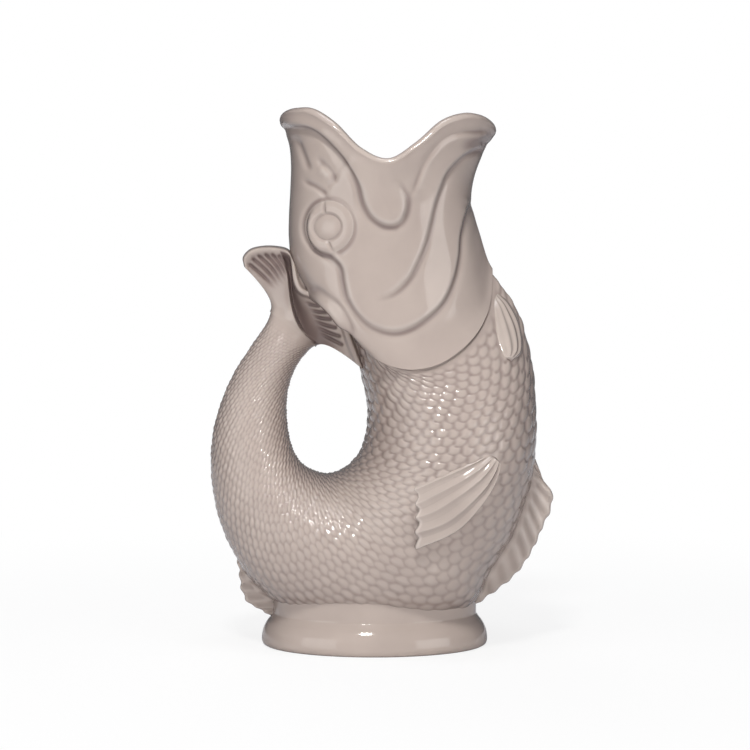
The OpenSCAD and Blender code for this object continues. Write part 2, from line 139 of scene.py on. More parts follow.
def at_share(rows, f):
    """The same curve, at a share of its length"""
    return along(rows, f * (len(rows) - 1))


def mix(a, b, f):
    """The value that lies the share f of the way from a to b"""
    return a + (b - a) * f


def ease(f):
    """A soft step from 0 to 1, level at both ends"""
    g = np.clip(f, 0, 1)
    return g * g * (3 - 2 * g)


HEAD = np.array(HEAD_SHARES) * [BODY_W, JUG_H, BODY_W, JUG_H, HEAD_D / 2, JUG_H, JUG_H]


def body_stations():
    """The trunk's and the tail's stations in metres, after the head's last one"""
    rows = [HEAD[HEAD_END]]
    for a, b, c, d, depth, drop in BODY_SHARES:
        loop = [LOOP_SHARE[0] * BODY_W + a * LOOP_W / 2, LOOP_SHARE[1] * JUG_H + b * LOOP_H / 2]
        rows.append([*loop, c * BODY_W, d * JUG_H, depth * TRUNK_D / 2, 0, drop * JUG_H])
    return np.array(rows)


BODY = body_stations()


def skin(stations, u, v, inset=0.0):
    """Points of the skin at stations u and angles v, in degrees from the nape over the right"""
    u, v = np.broadcast_arrays(np.asarray(u, float), np.asarray(v, float))
    ax, az, bx, bz, half, rise, drop = np.moveaxis(along(stations, u), -1, 0)
    chord = np.hypot(bx - ax, bz - az)
    dx = (bx - ax) / chord * inset
    dz = (bz - az) / chord * inset
    ax, az, bx, bz = ax + dx, az + dz, bx - dx, bz - dz
    turn = np.abs((v + 180) % 360 - 180) / SHAPE_STEP
    c = np.cos(np.radians(v))
    x = (ax + bx) / 2 - (bx - ax) / 2 * c
    z = (az + bz) / 2 - (bz - az) / 2 * c
    z = z + rise * along(RIM_SHARES, turn) - drop * along(GILL_SHARES, turn)
    return np.stack([x, -(half - inset) * np.sin(np.radians(v)), z], -1)


def skin_normals(stations, u, v, step):
    """Outward normals of the smooth skin, measured over a step of u on both sides"""
    du = skin(stations, u + step, v) - skin(stations, u - step, v)
    dv = skin(stations, u, v + 1) - skin(stations, u, v - 1)
    n = np.cross(du, dv)
    return n / np.linalg.norm(n, axis=-1, keepdims=True)


def outward(points):
    """Outward normals of a grid whose columns run round the body"""
    du = np.gradient(points, axis=0)
    dv = np.roll(points, -1, 1) - np.roll(points, 1, 1)
    n = np.cross(du, dv)
    return n / np.maximum(np.linalg.norm(n, axis=-1, keepdims=True), 1e-12)


def in_photo(points):
    """Pixels of the photograph that the near side of the jug falls on, the far side mirrored"""
    near = CAMERA_FAR / (CAMERA_FAR - np.abs(points[..., 1]))
    x = CAMERA_X + (points[..., 0] - CAMERA_X) * near
    z = CAMERA_H + (points[..., 2] - CAMERA_H) * near
    return np.stack([MIDDLE_PX + x / PIXEL, TABLE_PX - z / PIXEL], -1)


def soften(h, passes):
    """Glaze fills the small corners of the relief"""
    for _ in range(passes):
        h = (np.roll(h, 1, 1) + 2 * h + np.roll(h, -1, 1)) / 4
        up = np.concatenate([h[:1], h[:-1]])
        down = np.concatenate([h[1:], h[-1:]])
        h = (up + 2 * h + down) / 4
    return h


def soften_rows(h):
    """One pass of softening along each row only"""
    left = np.concatenate([h[:, :1], h[:, :-1]], 1)
    right = np.concatenate([h[:, 1:], h[:, -1:]], 1)
    return (left + 2 * h + right) / 4


# The relief of the head, drawn along lines that are seen in the photograph

UPPER_LIP_PX = [
    (279, 126), (291, 127), (305, 128), (316, 132), (328, 142), (341, 156), (351, 170),
    (359, 186), (364, 204), (371, 217), (382, 225), (392.5, 226.6), (400.5, 223), (405, 215),
    (407, 205), (405, 195), (399, 184), (392, 174),
]
LOWER_LIP_PX = [
    (409.5, 200), (416, 183), (423, 165), (434, 149), (446, 138), (460, 133), (476, 132),
    (488, 130),
]
JAW_PX = [
    (486, 146), (469, 152), (457, 161), (446, 174), (441, 186), (435, 204), (430, 226),
    (425, 245), (417.5, 263), (409, 279), (396, 292), (382, 298), (366, 299),
]
CHEEK_PX = [
    (472, 198), (466, 214), (461, 236), (459.5, 256), (455, 277.5), (446, 299), (432, 315),
    (412, 328.5), (393, 333), (373, 327.5), (358, 315), (348, 299), (344, 283), (341, 268),
    (332, 258), (319, 252), (311, 242), (308, 229), (310, 216), (317, 206),
]
BROW_PX = [(292, 133), (298, 143), (302, 153), (307, 165), (312, 173)]
SNOUT_PX = [(314, 154), (321, 162), (329, 170), (334, 178), (335, 186)]
UNDER_LIP_PX = [(492, 141), (482, 143), (470, 147), (457, 155)]
NOSTRIL_PX = [(318, 168), (324, 173), (330, 179)]
EYELID_PX = [(301, 177), (308, 183), (316, 187), (324, 193), (328, 201)]
NAPE_ROLL_PX = [
    (299, 289), (309, 294.5), (319, 300.5), (329, 309), (337, 319), (343, 331), (346.5, 343),
]
NAPE_VALLEY_PX = [
    (307, 286), (316, 289), (327, 296), (338, 305), (346, 316), (352, 329), (355, 342),
]
CHEEK_RIDGE_PX = [(332, 247), (338, 256), (346, 265), (351, 274)]


def line_distance(points, line, per=8):
    """For each point, the distance to a smooth line, the side it lies on, positive to the line's
    right, the share of the line's length where it is nearest, and the points of the line"""
    count = (len(line) - 1) * per + 1
    path = along(line, np.linspace(0, len(line) - 1, count))
    best = np.full(len(points), 1e9)
    side = np.zeros(len(points))
    where = np.zeros(len(points))
    for k in range(count - 1):
        d = path[k + 1] - path[k]
        p = points - path[k]
        t = np.clip(p @ d / (d @ d), 0, 1)
        q = p - t[:, None] * d
        r = q[:, 0] ** 2 + q[:, 1] ** 2
        closer = r < best
        best = np.where(closer, r, best)
        side = np.where(closer, np.sign(d[0] * p[:, 1] - d[1] * p[:, 0]), side)
        where = np.where(closer, (k + t) / (count - 1), where)
    return np.sqrt(best), side, where, path


def ends(where, first, last):
    """Fades a line out towards its ends, over the given shares of its length"""
    return ease(where / max(first, 1e-6)) * ease((1 - where) / max(last, 1e-6))


def spread(points, path, first, last, stride=4, blur=2):
    """The fading of a line, carried smoothly into the space on both sides of it"""
    total = np.zeros(len(points))
    weight = np.zeros(len(points))
    for k in range(0, len(path), stride):
        r = (points[:, 0] - path[k][0]) ** 2 + (points[:, 1] - path[k][1]) ** 2 + blur ** 2
        total += ends(k / (len(path) - 1), first, last) / r ** 2
        weight += 1 / r ** 2
    return total / weight


PLATE_LEAD = 0.4  # widths by which a plate's slope starts before its line
PLATE_SLOPE = 1.6  # widths that the slope takes


def plate(points, line, height, groove, width, reach, first, last, flip):
    """A plate's edge: raised on one side of the line, with a soft groove where it drops"""
    d, side, where, path = line_distance(points, line)
    s = d * side * flip
    up = s + width * PLATE_LEAD
    raised = height * ease(up / (PLATE_SLOPE * width)) * np.exp(-np.maximum(s, 0) / reach)
    sunk = groove * np.exp(-(up / width) ** 2)
    return raised * spread(points, path, first, last) - sunk * ends(where, first, last)


def ridge(points, line, height, width, first=0.3, last=0.3):
    """A soft ridge along a line, or a furrow where its height is below zero"""
    d, _, where, _ = line_distance(points, line)
    return height * np.exp(-(d / width) ** 2) * ends(where, first, last)


# The plates on the head: line, height and groove in millimetres, width and reach in pixels, the
# shares of the line over which they fade in and out, and the side that is raised
PLATES = [
    (UPPER_LIP_PX, 1.7, 0.7, 4.2, 60, 0.05, 0.25, -1),
    (LOWER_LIP_PX, 0.9, 0.35, 3.2, 30, 0.15, 0.1, 1),
    (JAW_PX, 1.35, 0.5, 4, 30, 0.05, 0.25, 1),
    (CHEEK_PX, 1.5, 0.6, 4, 50, 0.05, 0.08, 1),
]
# The ridges and furrows: line, height in millimetres, width in pixels, and the same shares
RIDGES = [
    (BROW_PX, -0.9, 3.2),
    (SNOUT_PX, -0.7, 3.2),
    (NOSTRIL_PX, 0.45, 5),
    (UNDER_LIP_PX, -0.7, 7, 0.2, 0.5),
    (EYELID_PX, -0.8, 2.8),
    (CHEEK_RIDGE_PX, 0.35, 4),
    (NAPE_ROLL_PX, 1.7, 3.1, 0.1, 0.15),
    (NAPE_VALLEY_PX, -0.7, 3.2, 0.2, 0.2),
]

EYE_PX = (329.0, 227.0)
PUPIL_R_PX = 11.3
EYE_R_PX = (25.0, 26.5)
PUPIL_H = 1.25 * MM
RING_H = 1.05 * MM
SOCKET_H = 0.5 * MM  # depth of the line round the ring
RING_SPLIT = 0.75  # depth of the two splits, as a share of the ring's height


def eye_share(points):
    """Distance from the middle of the eye, as a share of its ring's outer radius"""
    x = (points[:, 0] - EYE_PX[0]) / EYE_R_PX[0]
    y = (points[:, 1] - EYE_PX[1]) / EYE_R_PX[1]
    return np.hypot(x, y)


def eye_relief(points):
    """A dome, a groove round it, and a raised ring that is split at its top and bottom"""
    x = points[:, 0] - EYE_PX[0]
    y = points[:, 1] - EYE_PX[1]
    inner = np.hypot(x, y) / PUPIL_R_PX
    outer = eye_share(points)
    dome = PUPIL_H * np.clip(1 - (inner / 1.12) ** 2, 0, 1) ** 0.6
    ring = RING_H * ease((1.06 - outer) / 0.3) ** 0.8 * ease((inner - 1.02) / 0.42)
    sharp = mix(1, 0.45, ease(x / 18 + 0.5))
    socket = SOCKET_H * sharp * np.exp(-((outer - 1.08) / 0.075) ** 2)
    top = np.exp(-((x + 2.0 - 0.1 * y) / 1.6) ** 2) * ease((-y - 9) / 6)
    bottom = np.exp(-((x - 1.5 - 0.42 * (y - 16)) / 1.8) ** 2) * ease((y - 11) / 5)
    ring *= 1 - RING_SPLIT * np.maximum(top, bottom)
    return dome + ring - socket


def head_relief(points):
    """Height of the head's relief over its skin, for a grid of points"""
    p = in_photo(points).reshape(-1, 2)
    h = eye_relief(p)
    for line, height, groove, *form in PLATES:
        h += plate(p, line, height * MM, groove * MM, *form)
    for line, height, *form in RIDGES:
        h += ridge(p, line, height * MM, *form)
    return h.reshape(points.shape[:-1])


# Scales, laid like bricks with rounded lower edges

SCALES_ROUND = 34
SCALE_CROWDING = 0.25  # how much narrower the scales are on the flanks than below
SCALE_PITCH = 3.85 * MM
SCALE_THINNING = 0.6  # power by which the rows get closer where the body is thinner
SCALE_H = 0.92 * MM
SCALE_BULGE = 0.3  # rows by which a scale's rounded edge reaches over the next row
SCALE_SLANT = 0.16  # rows by which a scale's sides lean
FIRST_ROW = 0.6  # share of the first row that lies under the gill covers
ROOT_BELLY = 0.42  # height of a scale at its root, as a share, on the belly
ROOT_TAIL = 0.16  # and on the tail
PLACE_PER_ROW = 12.9
PLACE_PER_SCALE = 4.7
PLACE_TURN = 6.283


def scale_rows():
    """Running count of scale rows at each of many stations"""
    u = np.linspace(0, TAIL_END, 1201)
    side = skin(BODY, u, 90)
    steps = np.linalg.norm(np.diff(side, axis=0), axis=1)
    row = along(BODY, u)
    girth = np.sqrt(np.hypot(row[:, 2] - row[:, 0], row[:, 3] - row[:, 1]) / 2 * row[:, 4])
    pitch = SCALE_PITCH * (girth / girth.max()) ** SCALE_THINNING
    return u, np.concatenate([[0], np.cumsum(steps / pitch[1:])])


SCALE_U, SCALE_COUNT = scale_rows()


def scales(u, v):
    """Height of the scales, which differ a little by waves over a place that each one has"""
    a = np.interp(u, SCALE_U, SCALE_COUNT) + FIRST_ROW
    turn = np.radians(v)
    b = (turn - SCALE_CROWDING / 2 * np.sin(2 * turn)) / (2 * np.pi) * SCALES_ROUND
    best = np.zeros(np.broadcast(u, v).shape)
    found = np.zeros(best.shape, bool)
    start = mix(ROOT_BELLY, ROOT_TAIL, ease((u - 7) / 3))
    for back in (1, 0, -1):
        row = np.floor(a) - back
        da = a - row
        shift = 0.5 * (row % 2)
        cell = np.floor(b - shift)
        place = row * PLACE_PER_ROW + (cell % SCALES_ROUND) * PLACE_PER_SCALE
        place = place % PLACE_TURN
        db = 2 * (b - shift - cell - 0.5) - 0.14 * np.sin(place * 3.1)
        da = da + (SCALE_SLANT + 0.06 * np.sin(place * 7.7)) * db
        edge = 1.0 + (SCALE_BULGE + 0.09 * np.sin(place)) * (1 - np.abs(db) ** 2.6)
        share = np.clip(da / edge, 0, 1)
        crown = mix(start, 1, share ** 0.8) * (1 - share ** 4) * (1 - 0.8 * np.abs(db) ** 2.4)
        h = np.maximum(crown, 0) * (1 + 0.2 * np.sin(place * 5.3))
        here = (da <= edge) & ~found
        best = np.where(here, h, best)
        found |= here
    return best * SCALE_H


# Meshes

def add_mesh(name, points, faces, normals=None, tones=None):
    """A smooth piece, with its own normals, and its glaze's pooling and painted shade where they
    are given
    """
    mesh = bpy.data.meshes.new(name)
    mesh.from_pydata(np.asarray(points).tolist(), [], faces)
    mesh.validate()
    mesh.polygons.foreach_set("use_smooth", np.ones(len(mesh.polygons), bool))
    if tones is not None:
        layer = mesh.attributes.new("pool_and_painted_shade", "FLOAT", "POINT")
        layer.data.foreach_set("value", np.asarray(tones, np.float32).ravel())
    if normals is not None:
        mesh.normals_split_custom_set_from_vertices(normals.tolist())
    mesh.update()
    piece = bpy.data.objects.new(name, mesh)
    bpy.context.scene.collection.objects.link(piece)
    return piece


def grid_faces(rows, columns, start=0, closed=True):
    """Quads between neighbouring rows of a grid, wound so that they face outward"""
    i = np.arange(rows - 1)
    k = np.arange(columns if closed else columns - 1)
    i, k = np.meshgrid(i, k, indexing="ij")
    m = (k + 1) % columns
    a = i * columns
    b = a + columns
    quads = np.stack([a + k, b + k, b + m, a + m], -1)
    return (quads.reshape(-1, 4) + start).tolist()


def closing_faces(rows, columns):
    """Quads that join the last row of a grid to its first"""
    k = np.arange(columns)
    m = (k + 1) % columns
    last = (rows - 1) * columns
    return np.stack([last + k, k, m, last + m], -1).tolist()


def cap_faces(row, count, flip, shift=0):
    """Faces that close one row of a grid, between points that face each other across it. With a
    shift of 1 its first point faces its last"""
    a = row * count
    out = []
    for k in range((count - shift) // 2):
        m = count - k - shift
        face = list(dict.fromkeys([a + k, a + k + 1, a + m - 1, a + m % count]))
        out.append(face if flip else face[::-1])
    return out


MIRROR = np.array([1, -1, 1])


def standing(xz, y):
    """Points of the upright middle plane, moved aside by y"""
    return np.stack([xz[..., 0], y, xz[..., 1]], -1)


def both_sides(near, flip=1):
    """A grid of the near side, carried on over its rim to its image on the far side"""
    far = (near * flip)[:, ::-1]
    return np.concatenate([near, far[:, 1:]], axis=1)


def fin_faces(rings):
    """Faces of a fin whose rows run from the near side over the rim to the far side"""
    rows, count = rings.shape[:2]
    caps = cap_faces(0, count, True, 1) + cap_faces(rows - 1, count, False, 1)
    return grid_faces(rows, count) + caps


def vertex_normals(points, faces):
    """Normals of a mesh, weighted by the area of its faces"""
    p = np.asarray(points)
    f = np.asarray([face if len(face) == 4 else [*face, face[-1]] for face in faces])
    n = np.cross(p[f[:, 2]] - p[f[:, 0]], p[f[:, 3]] - p[f[:, 1]])
    out = np.zeros_like(p)
    for k in range(4):
        np.add.at(out, f[:, k], n)
    return out / np.maximum(np.linalg.norm(out, axis=1, keepdims=True), 1e-12)


AROUND = 480
ANGLES = np.arange(AROUND) * 360 / AROUND
POOL_DEPTH = 0.25 * MM  # depth under the neighbourhood where the glaze is deepest


def pool_of(h, reach=10):
    """How deep a point lies under its neighbourhood, where glaze pools, from -1 to 1"""
    return np.clip((h - soften(h, reach)) / POOL_DEPTH, -1, 1)


HEAD_ROWS = 270
HEAD_INNER_ROWS = 46
LIP_ANGLES = np.arange(165, 0, -15)  # of the rows over the rolled lip, from inside to outside
LIP_TONE = 0.35  # the glaze runs thin there
SWELL_U = 2.5  # stations over which the gill covers rise off the trunk
ROUNDED = 12  # degrees beside nape and throat where the relief levels out
UNDER_GILL = 0.6 * MM  # how far in the gill covers' lower edge meets the trunk
EDGE_ROLL = [(0.2, 0.10), (0.6, 0.12)]  # rows of that edge: shares of the way in and down
EYE_SEAT = 0.8 * MM  # how deep the head is let in under the eye
UNDER_LIP_PAINTED_SHADE = 1.6  # painted shade: how much darker the glaze is painted under the lip's end


def gill_swell(u):
    """The inset, below zero, that lets the gill covers stand over the trunk"""
    return -GILL_STEP * np.maximum(0, 1 - (HEAD_END - u) / SWELL_U) ** 2


def head_outside():
    """The head's skin with its relief, how the glaze pools on it, and painted shade under the
    lip's end
    """
    u = np.linspace(0, HEAD_END, HEAD_ROWS)[:, None]
    outer = skin(HEAD, u, ANGLES, gill_swell(u))
    seen = in_photo(outer).reshape(-1, 2)
    turn = np.abs((ANGLES + 90) % 180 - 90)
    turn = np.where(turn < ROUNDED, turn ** 2 / (2 * ROUNDED) + ROUNDED / 2, turn)
    turn = np.where(np.cos(np.radians(ANGLES)) > 0, turn, 180 - turn)
    relief = soften(head_relief(skin(HEAD, u, turn, gill_swell(u))), 2)
    saddle = np.sin(np.radians(ANGLES)) ** 2
    relief *= ease(u / mix(0.3, 2.2, saddle)) * ease((HEAD_END - u) / 0.35)
    under_eye = eye_share(seen).reshape(relief.shape)
    # Painted shade under the lip's end, carried in the glaze's tones
    painted_shade_under_lip = ridge(seen, UNDER_LIP_PX, 1, 10, 0.02, 0.5).reshape(relief.shape)
    tones = np.clip(pool_of(relief) - UNDER_LIP_PAINTED_SHADE * painted_shade_under_lip, -1, 1)
    relief -= EYE_SEAT * ease((0.97 - under_eye) / 0.06)
    return outer + outward(outer) * relief[..., None], tones


def make_head():
    """The hollow head: outside, gill covers' edge, inside and lips, as one closed grid"""
    outer, tones = head_outside()
    under = skin(HEAD, HEAD_END, ANGLES, UNDER_GILL)
    down = skin(BODY, 0.25, ANGLES, UNDER_GILL)
    roll = [mix(outer[-1], under, f) + (down - under) * g for f, g in EDGE_ROLL]
    v = np.linspace(HEAD_END, 0, HEAD_INNER_ROWS)[:, None]
    inner = skin(HEAD, v, ANGLES, mix(LIP_T, WALL, np.minimum(1, v / 2)))
    a = np.radians(LIP_ANGLES)[:, None, None]
    lip = mix(inner[-1][None], outer[0][None], (1 + np.cos(a)) / 2)
    lip = lip + np.sin(a) * np.array([0, 0, LIP_T / 2])
    rows = np.concatenate([outer, np.stack([*roll, down]), inner, lip])
    tones = np.concatenate([tones, np.zeros((len(rows) - len(tones), AROUND))])
    tones[-len(lip):] = LIP_TONE
    faces = grid_faces(len(rows), AROUND) + closing_faces(len(rows), AROUND)
    return add_mesh("fish_head", rows.reshape(-1, 3), faces, None, tones)


BODY_ROWS_PER_STATION = 36
GILL_COVERED = 0.12  # stations of the trunk that lie smooth under the gill covers
GILL_FADE = 0.35  # stations over which the scales come up from there
GILL_LEVEL = 0.7  # height of the smooth stretch, as a share of a scale's
TAIL_BARE = 0.4  # stations without scales at the tail's end
TAIL_FADE = 1.5
SCALE_SEAT = 0.6  # share of their height by which the scales are let in
TRUNK_PAINTED_SHADE = 0.26  # painted shade: how much darker the glaze is painted all over the trunk
REAR_PAINTED_SHADE = 0.08  # and further round
SEAM_ROWS = 3  # rows beside the trunk's seam with the tail that share normals


def body_grid(first, last):
    """The skin of the trunk and tail with its scales, from one station to another"""
    pad = 12
    count = int(round((last - first) * BODY_ROWS_PER_STATION)) + 1
    step = 1 / BODY_ROWS_PER_STATION
    u = (first + np.arange(-pad, count + pad) * step)[:, None]
    h = scales(np.clip(u, 0, TAIL_END), np.broadcast_to(ANGLES, (len(u), AROUND)))
    h = mix(SCALE_H * GILL_LEVEL, soften(h, 3), ease((u - GILL_COVERED) / GILL_FADE))
    h *= ease((TAIL_END - TAIL_BARE - u) / TAIL_FADE)
    # Glaze pooled in the scales' hollows, plus painted shade that darkens the whole trunk and,
    # less, the tail
    pool_and_painted_shade = pool_of(h) - mix(TRUNK_PAINTED_SHADE, REAR_PAINTED_SHADE, ease((u - 5) / 4))
    base = skin(BODY, u, ANGLES)
    points = base + outward(base) * (h - SCALE_H * SCALE_SEAT)[..., None]
    normals = outward(points)
    cut = slice(pad, pad + count)
    return points[cut], normals[cut], pool_and_painted_shade[cut]


FOOT_X = -0.023 * BODY_W
FOOT_AROUND = 288
FOOT_PROFILE_SHARES = [
    [0, 0.3], [0.05, 0.1], [0.16, 0], [0.32, 0.02], [0.5, 0.11],
    [0.64, 0.26], [0.78, 0.48], [0.91, 0.75], [1.04, 1],
]


def foot_oval(inset, z):
    """A level oval of points, a given way in from the foot's outline"""
    a = np.arange(FOOT_AROUND) * 2 * np.pi / FOOT_AROUND
    x = FOOT_X - (FOOT_L / 2 - inset) * np.cos(a)
    return np.stack([x, -(FOOT_D / 2 - inset) * np.sin(a), np.broadcast_to(z, a.shape)], -1)


def into_foot(points, z, inset):
    """Lets the floor of the trunk down into the foot"""
    x = (points[..., 0] - FOOT_X) / (FOOT_L / 2 - FOOT_FLARE - inset)
    y = points[..., 1] / (FOOT_D / 2 - FOOT_FLARE - inset)
    share = ease((1 - np.hypot(x, y)) / 0.06) * (points[..., 2] < FOOT_H * 2.4)
    points[..., 2] = mix(points[..., 2], z, share)
    return points


def scaly_mesh(name, rows, faces, normals, kept, pool_and_painted_shade):
    """A casting whose first rows are scaled skin, with the given normals on the kept ones"""
    points = rows.reshape(-1, 3)
    smooth = vertex_normals(points, faces).reshape(rows.shape)
    smooth[:len(normals)][kept] = normals[kept]
    tones = np.zeros(rows.shape[:2])
    tones[:len(pool_and_painted_shade)] = pool_and_painted_shade
    return add_mesh(name, points, faces, smooth.reshape(-1, 3), tones)


def make_trunk():
    """The hollow trunk, open at the gill covers and at the tail"""
    outer, normals, pool_and_painted_shade = body_grid(0, TAIL_START)
    outer = into_foot(outer, RECESS_H + WALL * 0.5, WALL * 0.6)
    w = np.linspace(TAIL_START, 0, TAIL_START * 6 + 1)[:, None]
    inner = into_foot(skin(BODY, w, ANGLES, WALL), RECESS_H + WALL, WALL)
    rows = np.concatenate([outer, inner])
    faces = grid_faces(len(rows), AROUND) + closing_faces(len(rows), AROUND)
    return scaly_mesh("fish_trunk", rows, faces, normals, slice(-SEAM_ROWS, None), pool_and_painted_shade)


TAIL_INNER_ROWS = 40
TAIL_CAP_U = 0.12  # stations by which the tail's closed end is rounded
TAIL_CAP_INSET = (0.4 * MM, 1.6 * MM)


def make_tail():
    """The hollow tail, open to the trunk and closed at its end"""
    outer, normals, pool_and_painted_shade = body_grid(TAIL_START, TAIL_END)
    w = np.linspace(TAIL_END - 1, TAIL_START, TAIL_INNER_ROWS)[:, None]
    inner = skin(BODY, w, ANGLES, WALL)
    first, more = TAIL_CAP_INSET
    end = [skin(BODY, TAIL_END + f * TAIL_CAP_U, ANGLES, first + f * f * more) for f in (0.5, 1)]
    rows = np.concatenate([outer, np.stack(end), inner])
    turn = len(outer) + len(end) - 1
    faces = grid_faces(turn + 1, AROUND) + grid_faces(len(inner), AROUND, (turn + 1) * AROUND)
    faces += cap_faces(turn, AROUND, False) + cap_faces(turn + 1, AROUND, True)
    faces += closing_faces(len(rows), AROUND)
    return scaly_mesh("fish_tail", rows, faces, normals, slice(0, SEAM_ROWS), pool_and_painted_shade)


def skin_height(spots):
    """Height of the trunk's underside over spots on the table"""
    u = np.linspace(7, TAIL_START, 500)[:, None]
    v = np.linspace(60, 300, 361)
    p = skin(BODY, u, v).reshape(-1, 3)
    p = p[p[:, 2] < 40 * MM]
    return np.array([p[np.hypot(*(p[:, :2] - spot).T).argmin(), 2] for spot in spots])


FOOT_PROFILE_ROWS = 60
FOOT_NECK_ROWS = 14
FOOT_TUCK = 1.2 * MM  # how far the foot's neck runs up into the trunk
RECESS_ROWS = [(3 * MM, RECESS_H), (1.2 * MM, RECESS_H - 0.5 * MM), (0.4 * MM, 0.6 * MM), (0, 0)]


def make_foot():
    """The oval foot, from the hollow underneath over its profile to its neck and back inside"""
    rows = [foot_oval(FOOT_RING_W + inset, z) for inset, z in RECESS_ROWS]
    for z, inset in at_share(FOOT_PROFILE_SHARES, np.linspace(0, 1, FOOT_PROFILE_ROWS)):
        rows.append(foot_oval(FOOT_FLARE * inset, FOOT_H * z))
    waist = foot_oval(FOOT_FLARE, 0)
    low = rows[-1][0, 2]
    top = np.maximum(skin_height(waist[:, :2]) + FOOT_TUCK, low + 0.2 * MM)
    for f in np.linspace(0.1, 1, FOOT_NECK_ROWS):
        rows.append(foot_oval(FOOT_FLARE, mix(low, top, f)))
    rows.append(foot_oval(FOOT_FLARE + WALL, top))
    rows.append(foot_oval(FOOT_FLARE + WALL, RECESS_H + WALL - 0.3 * MM))
    rows = np.stack(rows)[::-1]
    n = len(rows)
    faces = grid_faces(n, FOOT_AROUND)
    faces += cap_faces(0, FOOT_AROUND, True) + cap_faces(n - 1, FOOT_AROUND, False)
    return add_mesh("oval_foot", rows.reshape(-1, 3), faces)


# Fins

TAIL_RIM_SHARES = [
    [-0.425, 0.707], [-0.428, 0.724], [-0.406, 0.739], [-0.369, 0.745], [-0.326, 0.745],
    [-0.288, 0.739], [-0.268, 0.72], [-0.232, 0.69], [-0.205, 0.669], [-0.177, 0.66],
    [-0.145, 0.646], [-0.11, 0.625], [-0.08, 0.596], [-0.052, 0.558], [-0.036, 0.505],
]
TAIL_DEPTH_SHARES = [0.29, 0.32, 0.34, 0.37, 0.44, 0.6, 0.8, 0.94, 1, 1, 1, 1, 1, 0.95, 0.85]
TAIL_COLUMNS = 360
TAIL_ROWS = 120
TAIL_ROOT = TAIL_END - 0.3  # the station where the fin leaves the tail's skin
TAIL_LEAD = 7 * MM  # how far the fin carries on the way the tail points
TAIL_WEB_T = 6 * MM  # thickness between the rays of the upper lobe
TAIL_RIM_T = 30 * MM  # thickness of the rolled rim where it meets the nape
TAIL_BEAD_W = 4.6 * MM
TAIL_SEAM = 2.6 * MM  # depth of the groove between the rolled rim and the nape
TAIL_VALLEY_T = 6 * MM  # thickness in the valley of the lower lobe
TAIL_NEAR = 10 * MM  # how far off the middle plane the fin's lines are drawn
TAIL_RAY_PX = 1.8
TAIL_LOBE_AT = 0.34  # share of the rim where the lower lobe starts
TAIL_BEAD_PX = [
    (287, 240), (289, 249), (291.5, 262), (294, 274), (297, 284), (302, 291), (311, 294.5),
    (321, 300), (332, 308.5), (340, 318), (346, 330), (350, 342), (355, 355), (361, 370),
]
TAIL_FOLD_PX = [
    (281, 255), (285, 266), (287.5, 278), (289, 291), (291.5, 306), (296, 320), (303, 333),
    (311, 343), (320, 351),
]
TAIL_RAYS_PX = [
    [(247, 263), (262, 276), (277, 291)], [(250, 257), (266, 271), (281, 289)],
    [(256, 254), (271, 268), (284, 287)], [(263, 252.5), (276, 266), (286, 284)],
    [(270, 252.5), (280, 265), (287.5, 280)], [(277, 254), (284.5, 265), (289, 276)],
    [(321, 306), (312, 305), (304, 302)], [(328, 312), (318, 312), (308, 309)],
    [(333, 319), (322, 318.5), (310, 315)], [(338, 328), (326, 325.5), (312, 320)],
    [(342, 337), (329, 333), (314, 326)], [(344, 346), (332, 340), (317, 332)],
]


def tail_fin_sheet(root, f, s):
    """The fin's middle sheet, from the tail in an arc to the rim, and the way left to the rim"""
    rim = at_share(np.array(TAIL_RIM_SHARES) * [BODY_W, JUG_H], f)
    lead = skin(BODY, TAIL_END, 90) - skin(BODY, TAIL_END - 1, 90)
    lead = lead[[0, 2]] / np.linalg.norm(lead) * TAIL_LEAD
    a = root[:, None, [0, 2]]
    t = s[None, :, None]
    xz = a * (1 - t) ** 2 + (a + lead) * 2 * t * (1 - t) + rim[:, None] * t * t
    steps = np.linalg.norm(np.diff(xz, axis=1), axis=-1)
    from_rim = np.cumsum(steps[:, ::-1], 1)[:, ::-1]
    return xz, np.concatenate([from_rim, np.zeros((len(f), 1))], 1)


